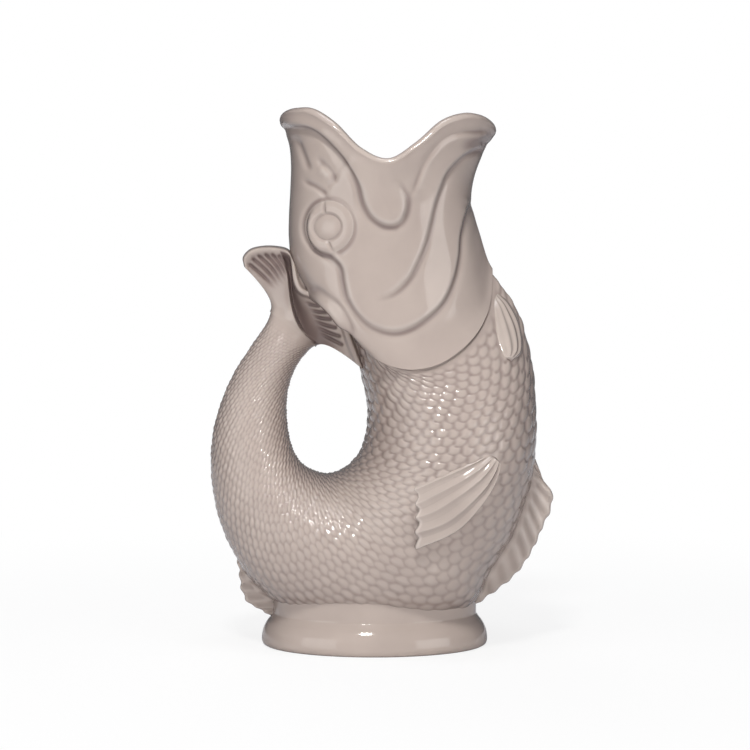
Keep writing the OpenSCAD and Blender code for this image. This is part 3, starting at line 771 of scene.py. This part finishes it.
def tail_fin_relief(xz, from_rim, root_half, f, s):
    """Half the fin's thickness over its sheet, and its tones: glaze pooled in the ray grooves,
    with painted shade in the lower lobe's valley and over the upper lobe's web
    """
    shape = from_rim.shape
    spot = in_photo(standing(xz, np.full(shape, -TAIL_NEAR))).reshape(-1, 2)

    def beside(line):
        d, side, _, _ = line_distance(spot, line)
        return (d * side * PIXEL).reshape(shape)

    groove = np.zeros(len(spot))
    for line in TAIL_RAYS_PX:
        d, _, where, _ = line_distance(spot, line, 3)
        groove = np.maximum(groove, np.exp(-(d / TAIL_RAY_PX) ** 2) * ends(where, 0.12, 0.5))
    groove = groove.reshape(shape)
    lower = ease((f - TAIL_LOBE_AT) / 0.08)
    inside = mix(from_rim, beside(TAIL_BEAD_PX), lower)
    right = -beside(TAIL_FOLD_PX)
    beyond = ease((right + 0.4 * MM) / (1.6 * MM))
    rim_half = at_share(TAIL_DEPTH_SHARES, f) * TAIL_RIM_T / 2

    start = np.maximum(root_half - mix(0.85, 0.3, ease(s / 0.08)) * MM, 0.2 * MM)
    upper_web = mix(start, np.maximum(rim_half - 1.4 * MM, TAIL_WEB_T / 2), ease(s / 0.75))
    rise = ease(right / np.maximum(right + np.maximum(inside, 0), 0.1 * MM))
    lower_web = mix(TAIL_VALLEY_T / 2, rim_half - 2.4 * MM, rise)
    lower_web = mix(start, lower_web, ease((s - 0.06) / 0.1))
    half = mix(upper_web, lower_web, beyond) - groove * mix(1.2, 1.7, lower) * MM

    bead = (inside - mix(1.6, 0.5, lower) * MM) / (mix(4, 2, lower) * MM)
    half = mix(rim_half, half, ease(bead))
    half = mix(half, rim_half - TAIL_SEAM, lower * ease((-inside - 0.7 * MM) / (1.6 * MM)))
    roll = np.clip(1 - from_rim / (TAIL_BEAD_W * 0.42), 0, 1)
    half = soften_rows(half * np.sqrt(np.clip(1 - roll ** 2, 0, 1)))
    half[:, -1] = 0
    # Painted shade in the lower lobe's valley beside the fold
    valley_painted_shade = beyond * ease(1 - rise) * ease((inside - 0.5 * MM) / (2 * MM))
    # Painted shade over the upper lobe's web, away from its rim and root
    plain = (1 - lower) * ease((from_rim - 2 * MM) / (3 * MM)) * ease(s / 0.5)
    return half, np.clip(-groove - valley_painted_shade - 0.4 * plain, -1, 0)


def make_tail_fin():
    """The forked fan, whose normals at its root pass smoothly into the tail's"""
    f = np.linspace(0, 1, TAIL_COLUMNS)
    s = np.linspace(0, 1, TAIL_ROWS) ** 0.9
    v = mix(176, 4, f)
    root = skin(BODY, TAIL_ROOT, v)
    xz, from_rim = tail_fin_sheet(root, f, s)
    half, tone = tail_fin_relief(xz, from_rim, -root[:, 1:2], f[:, None], s[None, :])
    rings = both_sides(standing(xz, -half), MIRROR)
    points = rings.reshape(-1, 3)
    faces = fin_faces(rings)
    joined = np.broadcast_to(1 - ease((s - 0.07) / 0.14), half.shape)[..., None]
    tail = skin_normals(BODY, TAIL_ROOT, v, TAIL_END - TAIL_ROOT)
    tail = np.broadcast_to(tail[:, None], xz.shape[:2] + (3,))
    smooth = vertex_normals(points, faces).reshape(rings.shape)
    smooth = mix(smooth, both_sides(tail, MIRROR), both_sides(joined))
    smooth /= np.linalg.norm(smooth, axis=-1, keepdims=True)
    return add_mesh("tail_fin_fan", points, faces, smooth.reshape(-1, 3), both_sides(tone))


BELLY_RIM_SHARES = [
    [0.474, 0.343], [0.5, 0.302], [0.526, 0.281], [0.52, 0.248], [0.496, 0.217],
    [0.476, 0.188], [0.451, 0.16], [0.42, 0.133], [0.378, 0.109], [0.33, 0.088], [0.288, 0.07],
]
REAR_RIM_SHARES = [
    [-0.348, 0.052], [-0.38, 0.064], [-0.418, 0.078],
    [-0.437, 0.105], [-0.442, 0.135], [-0.45, 0.163],
]
BLADE_SUNK = 1.2 * MM  # how deep the blades' roots lie in the body
BLADE_COLUMNS = 24  # columns of points to a ray
NOTCH = 0.9 * MM  # depth of the scallops between the rays' ends
RAY_H = 0.7 * MM
BLADE_ROOT_T = 5.8 * MM
BLADE_RIM_T = 3.8 * MM
FILLET_H = 3.6 * MM
FILLET_W = 5.5 * MM


def make_blade(name, first, last, lag, rim_shares, rays):
    """A fin along the outer line of the body, with soft rays swept back to a scalloped rim"""
    f = np.linspace(0, 1, rays * BLADE_COLUMNS)
    root = skin(BODY, mix(first, last, f - lag * f * (1 - f)), 180, BLADE_SUNK)[:, [0, 2]]
    rim = at_share(np.array(rim_shares) * [BODY_W, JUG_H], f)
    reach = rim - root
    length = np.maximum(np.linalg.norm(reach, axis=1, keepdims=True), 0.5 * MM)
    wave = (0.5 + 0.5 * np.cos((f * rays + 0.5) * 2 * np.pi))[:, None]
    notch = NOTCH * ease(length / (6 * MM))
    reach = reach * (1 - notch / length * (1 - wave))
    low = np.linspace(0, 0.3, 16)
    middle = np.linspace(0.33, 0.85, 20)
    high = np.linspace(0.87, 1, 14)
    s = mix(-3 * MM / length, 1, np.concatenate([low, middle, high])[None, :])
    xz = root[:, None] + reach[:, None] * s[..., None]
    s = np.clip(s, 0, 1)
    ray = (wave - 0.5) * RAY_H * ease(s / 0.35)
    fillet = FILLET_H * np.clip(1 - s * length / FILLET_W, 0, 1) ** 2
    half = mix(BLADE_ROOT_T / 2, BLADE_RIM_T / 2, ease(s)) + ray + fillet
    half = half * np.sqrt(np.clip(1 - np.clip((s - 0.86) / 0.14, 0, 1) ** 2, 0, 1))
    rings = both_sides(standing(xz, -half), MIRROR)
    # Paler on the rays' crests, where the glaze runs thin, and never darker between them: partly
    # painted light that brightens the fin in its shade
    tones = both_sides(0.6 * (wave + 0.1) * ease(s / 0.3))
    faces = fin_faces(rings)
    return add_mesh(name, rings.reshape(-1, 3), faces, None, tones)


# Outlines of the sprigs: stations and angles on the skin, from root to tip

FLANK_UPPER = [[4.75, 116], [4.8, 106], [5.1, 94], [5.75, 81], [6.7, 68]]
FLANK_LOWER = [[4.9, 119.5], [5.7, 119], [6.9, 116], [8.25, 107.5], [9.6, 94.5]]
PECTORAL_UPPER = [[0.1, 172], [0.35, 160], [0.65, 150], [1.0, 145], [1.25, 144]]
PECTORAL_LOWER = [[0.2, 175], [0.9, 176], [1.4, 174], [1.7, 163], [1.5, 147]]


def leaf_grid(upper, lower, rows, columns):
    """A grid on the skin between two outlines: shares along and across, points and normals"""
    s = np.linspace(0, 1, rows)[:, None]
    t = np.linspace(0, 1, columns)[None, :]
    place = mix(at_share(upper, s), at_share(lower, s), t[..., None])
    u, v = place[..., 0], place[..., 1]
    return s, t, skin(BODY, u, v), skin_normals(BODY, u, v, 0.02)


def make_leaf(name, side, base, normals, height, sunk=1.6 * MM):
    """A sprig on the skin: its face at the given height, closed by a back sunk in the wall"""
    rows, columns = height.shape
    size = rows * columns
    face = base + normals * height[..., None]
    back = base - normals * sunk
    points = np.concatenate([face.reshape(-1, 3), back.reshape(-1, 3)])
    top = grid_faces(rows, columns, 0, False)
    bottom = [[size + i for i in quad[::-1]] for quad in top]
    i = np.arange(rows - 1) * columns
    j = i + columns - 1
    k = np.arange(columns - 1)
    m = k + (rows - 1) * columns
    walls = np.concatenate([
        np.stack([i + columns, i, size + i, size + i + columns], -1),
        np.stack([j, j + columns, size + j + columns, size + j], -1),
        np.stack([k, k + 1, size + k + 1, size + k], -1),
        np.stack([m + 1, m, size + m, size + m + 1], -1),
    ]).tolist()
    faces = top + bottom + walls
    if side == "left":
        points = points * MIRROR
        faces = [quad[::-1] for quad in faces]
    tones = np.concatenate([pool_of(height, 6).ravel(), np.zeros(size)])
    return add_mesh(f"{name}_{side}", points, faces, None, tones)


FLANK_RIBS = [0.2, 0.405, 0.59, 0.79, 0.965]  # places of the ribs, as shares of the width
FLANK_POINTS = 150
FLANK_RIB_W = 0.052
FLANK_RIB_H = 1.15 * MM
FLANK_SCALLOP = 0.035  # depth of the scallops, as a share of the length
PECTORAL_ROWS = 110
PECTORAL_COLUMNS = 90
PECTORAL_H = 2.3 * MM
PECTORAL_RAYS = 4
PECTORAL_RAY_H = 0.3 * MM


def make_flank_fin(side):
    """The large fin on the flank, with ribs that end in a scalloped edge"""
    s, t, base, n = leaf_grid(FLANK_UPPER, FLANK_LOWER, FLANK_POINTS, FLANK_POINTS)
    crest = np.zeros((FLANK_POINTS, FLANK_POINTS))
    for rib in FLANK_RIBS:
        crest = np.maximum(crest, np.exp(-np.abs((t - rib) / FLANK_RIB_W) ** 1.5))
    swell = mix(-1.3, 2.9, ease(t / 0.8)) * MM
    height = swell + crest * FLANK_RIB_H * ease(s / 0.3)
    height = np.where(s > 1 - FLANK_SCALLOP * (1 - crest), -0.8 * MM, height)
    height = mix(-0.9 * MM, height, ease(s / 0.12))
    height = mix(height, -1.2 * MM, ease((t - 0.985) / 0.015))
    height = mix(height, -1.2 * MM, ease((s - 0.99) / 0.01))
    return make_leaf("flank_fin", side, base, n, height)


def make_pectoral_fin(side):
    """The small fin behind the gill cover"""
    s, t, base, n = leaf_grid(PECTORAL_UPPER, PECTORAL_LOWER, PECTORAL_ROWS, PECTORAL_COLUMNS)
    across = np.sin(np.pi * np.clip(t, 0, 1))
    swell = across ** 0.45 * ease(s / 0.2) * ease((1 - s) / 0.05) * PECTORAL_H
    rays = np.cos(t * 2 * np.pi * PECTORAL_RAYS) * PECTORAL_RAY_H
    rays = rays * ease(s / 0.3) * ease((1 - s) / 0.2)
    return make_leaf("pectoral_fin", side, base, n, swell + rays * across - 0.7 * MM)


EYE_STATIONS = (3.45, 5.65)  # the patch of the head that holds the eye
EYE_ANGLES = (30, 80)
EYE_POINTS = 130


def make_eye(side):
    """The eye's ring and dome, a skin of its own over the head's"""
    u = np.linspace(*EYE_STATIONS, EYE_POINTS)[:, None]
    v = np.linspace(*EYE_ANGLES, EYE_POINTS)[None, :]
    base = skin(HEAD, u, v)
    share = eye_share(in_photo(base).reshape(-1, 2)).reshape(EYE_POINTS, EYE_POINTS)
    height = soften_rows(head_relief(base)) + mix(0.04, -1.0, ease((share - 1.0) / 0.05)) * MM
    return make_leaf("eye", side, base, skin_normals(HEAD, u, v, 0.02), height, 2 * MM)


# Materials

def put(socket, value):
    """Sets a socket to a fixed value, or links it to another node's output"""
    if isinstance(value, bpy.types.NodeSocket):
        socket.id_data.links.new(value, socket)
    else:
        socket.default_value = value


def map_range(nodes, value, start, end, low=0, high=1, smooth=False):
    """Maps a value from one range to another and holds it at the ends"""
    node = nodes.new("ShaderNodeMapRange")
    node.interpolation_type = "SMOOTHSTEP" if smooth else "LINEAR"
    put(node.inputs["Value"], value)
    put(node.inputs["From Min"], start)
    put(node.inputs["From Max"], end)
    put(node.inputs["To Min"], low)
    put(node.inputs["To Max"], high)
    return node.outputs["Result"]


def blend(nodes, factor, a, b):
    """A colour between two colours"""
    node = nodes.new("ShaderNodeMix")
    node.data_type = "RGBA"
    put(node.inputs["Factor"], factor)
    put(node.inputs["A"], a)
    put(node.inputs["B"], b)
    return node.outputs["Result"]


def calculate(nodes, operation, *values, clamp=False):
    node = nodes.new("ShaderNodeMath")
    node.operation = operation
    node.use_clamp = clamp
    for socket, value in zip(node.inputs, values):
        put(socket, value)
    return node.outputs["Value"]


def noise(nodes, place, scale, detail):
    node = nodes.new("ShaderNodeTexNoise")
    put(node.inputs["Vector"], place)
    put(node.inputs["Scale"], scale)
    put(node.inputs["Detail"], detail)
    return node.outputs["Fac"]


MOTTLE = 0.25  # how far the glaze's faint clouds go to its deep colour
CLOUD_SCALE = 38
RIPPLE_SCALE = 160


def glaze_group():
    """Colour of the glaze: thin and pale on the edges, deep in the hollows and where shade is
    painted, faintly mottled
    """
    group = bpy.data.node_groups.new("glaze_tone", "ShaderNodeTree")
    for label in ("Glaze", "Thin", "Deep_and_painted_shade"):
        group.interface.new_socket(label, in_out="INPUT", socket_type="NodeSocketColor")
    group.interface.new_socket("Color", in_out="OUTPUT", socket_type="NodeSocketColor")
    group.interface.new_socket("Height", in_out="OUTPUT", socket_type="NodeSocketFloat")
    nodes = group.nodes
    given = nodes.new("NodeGroupInput").outputs
    out = nodes.new("NodeGroupOutput")
    attribute = nodes.new("ShaderNodeAttribute")
    attribute.attribute_name = "pool_and_painted_shade"
    pool_and_painted_shade = attribute.outputs["Fac"]
    place = nodes.new("ShaderNodeTexCoord").outputs["Object"]
    thin = blend(nodes, map_range(nodes, pool_and_painted_shade, 0.05, 1), given["Glaze"], given["Thin"])
    deep = blend(nodes, map_range(nodes, pool_and_painted_shade, -0.05, -1), thin, given["Deep_and_painted_shade"])
    cloud = map_range(nodes, noise(nodes, place, CLOUD_SCALE, 3), 0.3, 0.7)
    mottle = calculate(nodes, "MULTIPLY", cloud, MOTTLE)
    put(out.inputs["Color"], blend(nodes, mottle, deep, given["Deep_and_painted_shade"]))
    put(out.inputs["Height"], noise(nodes, place, RIPPLE_SCALE, 2))
    return group


GLAZE_TONE = glaze_group()


def linear(red, green, blue):
    """A colour written as it is seen on a screen, from 0 to 255"""
    c = np.array([red, green, blue]) / 255
    c = np.where(c <= 0.04045, c / 12.92, ((c + 0.055) / 1.055) ** 2.4)
    return (*c.tolist(), 1)


PAINTED_EDGE_SHADE_COLOUR = (88, 74, 74)  # painted shade and painted reflection: colour given to surfaces that turn away from the camera, standing in for the dim room they mirror
PAINTED_EDGE_SHADE_SHARE = 0.88
ROUGHNESS = 0.075
IOR = 1.52
RIPPLE_H = 0.2 * MM


def glaze(name, colour, thin, deep):
    """A glossy glaze in the group's tones, with painted shade where the surface turns away from
    the camera
    """
    material = bpy.data.materials.new(name)
    material.use_nodes = True
    nodes = material.node_tree.nodes
    shader = nodes["Principled BSDF"]
    tone = nodes.new("ShaderNodeGroup")
    tone.node_tree = GLAZE_TONE
    put(tone.inputs["Glaze"], linear(*colour))
    put(tone.inputs["Thin"], linear(*thin))
    put(tone.inputs["Deep_and_painted_shade"], linear(*deep))
    # Painted shade and reflection: Base Color darkens where the surface turns away from the
    # camera
    facing = nodes.new("ShaderNodeLayerWeight")
    put(facing.inputs["Blend"], 0.35)
    painted_edge_shade = map_range(nodes, facing.outputs["Facing"], 0.1, 0.95, high=PAINTED_EDGE_SHADE_SHARE, smooth=True)
    edge = blend(nodes, painted_edge_shade, tone.outputs["Color"], linear(*PAINTED_EDGE_SHADE_COLOUR))
    put(shader.inputs["Base Color"], edge)
    bump = nodes.new("ShaderNodeBump")
    put(bump.inputs["Strength"], 0.05)
    put(bump.inputs["Distance"], RIPPLE_H)
    put(bump.inputs["Height"], tone.outputs["Height"])
    put(shader.inputs["Normal"], bump.outputs["Normal"])
    put(shader.inputs["Roughness"], ROUGHNESS)
    put(shader.inputs["IOR"], IOR)
    return material


TAUPE = (203, 188, 178)
BODY_GLAZE = glaze("taupe_glaze", TAUPE, (213, 201, 192), (156, 139, 133))
FOOT_GLAZE = glaze("foot_glaze", TAUPE, (211, 198, 189), (160, 145, 137))
FIN_GLAZE = glaze("fin_glaze", (206, 192, 182), (219, 207, 198), (140, 122, 117))


def dress(piece, material, slot, *nodes):
    """Gives a piece its glaze and sets it in place of the plain solids in its nodes"""
    piece.data.materials.append(material)
    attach(piece, "root")
    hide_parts(*nodes)


def build_jug():
    dress(make_head(), BODY_GLAZE, "glaze", "head")
    dress(make_trunk(), BODY_GLAZE, "glaze", "trunk")
    dress(make_tail(), BODY_GLAZE, "glaze", "tail")
    dress(make_foot(), FOOT_GLAZE, "glaze_foot", "foot")
    dress(make_tail_fin(), FIN_GLAZE, "glaze_fins", "tail_fin")
    belly_fin = make_blade("belly_fin_blade", 5.5, 9.8, 0.5, BELLY_RIM_SHARES, 11)
    rear_fin = make_blade("rear_fin_blade", 13.3, 15.4, 0, REAR_RIM_SHARES, 6)
    dress(belly_fin, FIN_GLAZE, "glaze_fins", "belly_fin")
    dress(rear_fin, FIN_GLAZE, "glaze_fins", "rear_fin")
    for side in ("right", "left"):
        dress(make_flank_fin(side), FIN_GLAZE, "glaze_fins", f"flank_fin_{side}")
        dress(make_pectoral_fin(side), FIN_GLAZE, "glaze_fins", f"pectoral_fin_{side}")
        dress(make_eye(side), BODY_GLAZE, "glaze", f"eye_{side}")


# Camera, floor and light

SENSOR_W = 36


def add_camera():
    """The photograph's camera, level, with its picture shifted down to the jug"""
    data = bpy.data.cameras.new("photo_camera")
    camera = bpy.data.objects.new("photo_camera", data)
    bpy.context.scene.collection.objects.link(camera)
    camera.location = (CAMERA_X, -CAMERA_FAR, CAMERA_H)
    camera.rotation_euler = (np.pi / 2, 0, 0)
    data.sensor_fit = "HORIZONTAL"
    data.sensor_width = SENSOR_W
    data.lens = SENSOR_W * CAMERA_FAR / (PHOTO * PIXEL)
    horizon = TABLE_PX - CAMERA_H / PIXEL
    data.shift_y = -(PHOTO / 2 - horizon) / PHOTO
    data.clip_end = 20
    bpy.context.scene.camera = camera


WHITE = (1, 1, 1, 1)
BEHIND_GLOSS = 0.15  # share of the white backdrop that the glaze reflects


def seen_white(nodes):
    """1 for the camera's rays and for rays through glass, and a share of it for reflections"""
    path = nodes.new("ShaderNodeLightPath").outputs
    gloss = calculate(
        nodes, "MULTIPLY_ADD", path["Is Glossy Ray"], BEHIND_GLOSS, path["Is Camera Ray"])
    return calculate(nodes, "ADD", gloss, path["Is Transmission Ray"], clamp=True)


def mix_shader(nodes, factor, a, b):
    node = nodes.new("ShaderNodeMixShader")
    put(node.inputs["Fac"], factor)
    put(node.inputs[1], a)
    put(node.inputs[2], b)
    return node.outputs["Shader"]


ROOM_COLOUR = (0.93, 0.92, 1, 1)
ROOM_BEHIND = 0.05  # light of the room from behind the jug
ROOM_FRONT = 0.36  # and from the camera's side


def add_world():
    """White for the camera, and for the jug a dim room that is lighter on the camera's side"""
    world = bpy.data.worlds.new("studio")
    bpy.context.scene.world = world
    world.use_nodes = True
    nodes = world.node_tree.nodes
    axes = nodes.new("ShaderNodeSeparateXYZ")
    put(axes.inputs["Vector"], nodes.new("ShaderNodeTexCoord").outputs["Generated"])
    room = nodes["Background"]
    put(room.inputs["Color"], ROOM_COLOUR)
    front = map_range(nodes, axes.outputs["Y"], 0.5, -1, ROOM_BEHIND, ROOM_FRONT)
    put(room.inputs["Strength"], front)
    white = nodes.new("ShaderNodeBackground")
    put(white.inputs["Color"], WHITE)
    seen = mix_shader(nodes, seen_white(nodes), room.outputs[0], white.outputs[0])
    put(nodes["World Output"].inputs["Surface"], seen)


FLOOR_HALF = 1.6
FLOOR_COLOUR = (0.8, 0.79, 0.8, 1)
FLOOR_LIT = 0.17  # share of the floor's colour, near the jug, that takes the light
FLOOR_LIT_NEAR = 0.12
FLOOR_LIT_FAR = 0.5


def add_floor():
    """A white table that glows for the camera, but near the jug also takes light and shadow"""
    h = FLOOR_HALF
    corners = [(-h, -h, 0), (h, -h, 0), (h, h, 0), (-h, h, 0)]
    floor = add_mesh("table", corners, [(0, 1, 2, 3)])
    material = bpy.data.materials.new("white_table")
    material.use_nodes = True
    nodes = material.node_tree.nodes
    seen = seen_white(nodes)
    shader = nodes["Principled BSDF"]
    put(shader.inputs["Base Color"], blend(nodes, seen, FLOOR_COLOUR, WHITE))
    put(shader.inputs["Roughness"], 0.9)
    put(shader.inputs["Specular IOR Level"], 0)
    glow = nodes.new("ShaderNodeEmission")
    put(glow.inputs["Color"], WHITE)
    away = nodes.new("ShaderNodeVectorMath")
    away.operation = "LENGTH"
    put(away.inputs[0], nodes.new("ShaderNodeTexCoord").outputs["Object"])
    distance = away.outputs["Value"]
    unlit = map_range(nodes, distance, FLOOR_LIT_NEAR, FLOOR_LIT_FAR, 1 - FLOOR_LIT, smooth=True)
    share = calculate(nodes, "MULTIPLY", seen, unlit)
    surface = mix_shader(nodes, share, shader.outputs["BSDF"], glow.outputs["Emission"])
    put(nodes["Material Output"].inputs["Surface"], surface)
    floor.data.materials.append(material)


# Lamps: name, place, height over the table that it is aimed at, size, watts and colour
LAMPS = [
    ("key", (-0.16, -0.92, 1.32), 0.13, (0.2, 0.2), 10.6, (0.985, 0.985, 0.965)),
    ("right", (1.15, -0.85, 0.2), 0.11, (0.9, 0.9), 5.2, (0.99, 0.975, 0.94)),
    ("left", (-1.1, -0.9, 0.3), 0.13, (0.9, 0.9), 4.2, (0.99, 0.98, 0.95)),
    ("behind", (-0.3, 1.15, 0.8), 0.13, (0.9, 0.9), 5, (0.97, 0.98, 1)),
    ("overhead", (0.0, -0.1, 1.25), 0.13, (0.5, 0.4), 3.5, (0.96, 0.97, 1)),
]


def add_lights():
    for name, place, aim, size, power, colour in LAMPS:
        data = bpy.data.lights.new(name, "AREA")
        data.shape = "RECTANGLE"
        data.size, data.size_y = size
        data.energy = power
        data.color = colour
        lamp = bpy.data.objects.new(name, data)
        lamp.location = place
        view = Vector((0, 0, aim)) - Vector(place)
        lamp.rotation_euler = view.to_track_quat("-Z", "Y").to_euler()
        lamp.visible_glossy = name != "behind"      # its mirror image would sparkle in the loop
        bpy.context.scene.collection.objects.link(lamp)


build_jug()
add_camera()
add_world()
add_floor()
add_lights()
bpy.context.scene.view_settings.view_transform = "Standard"
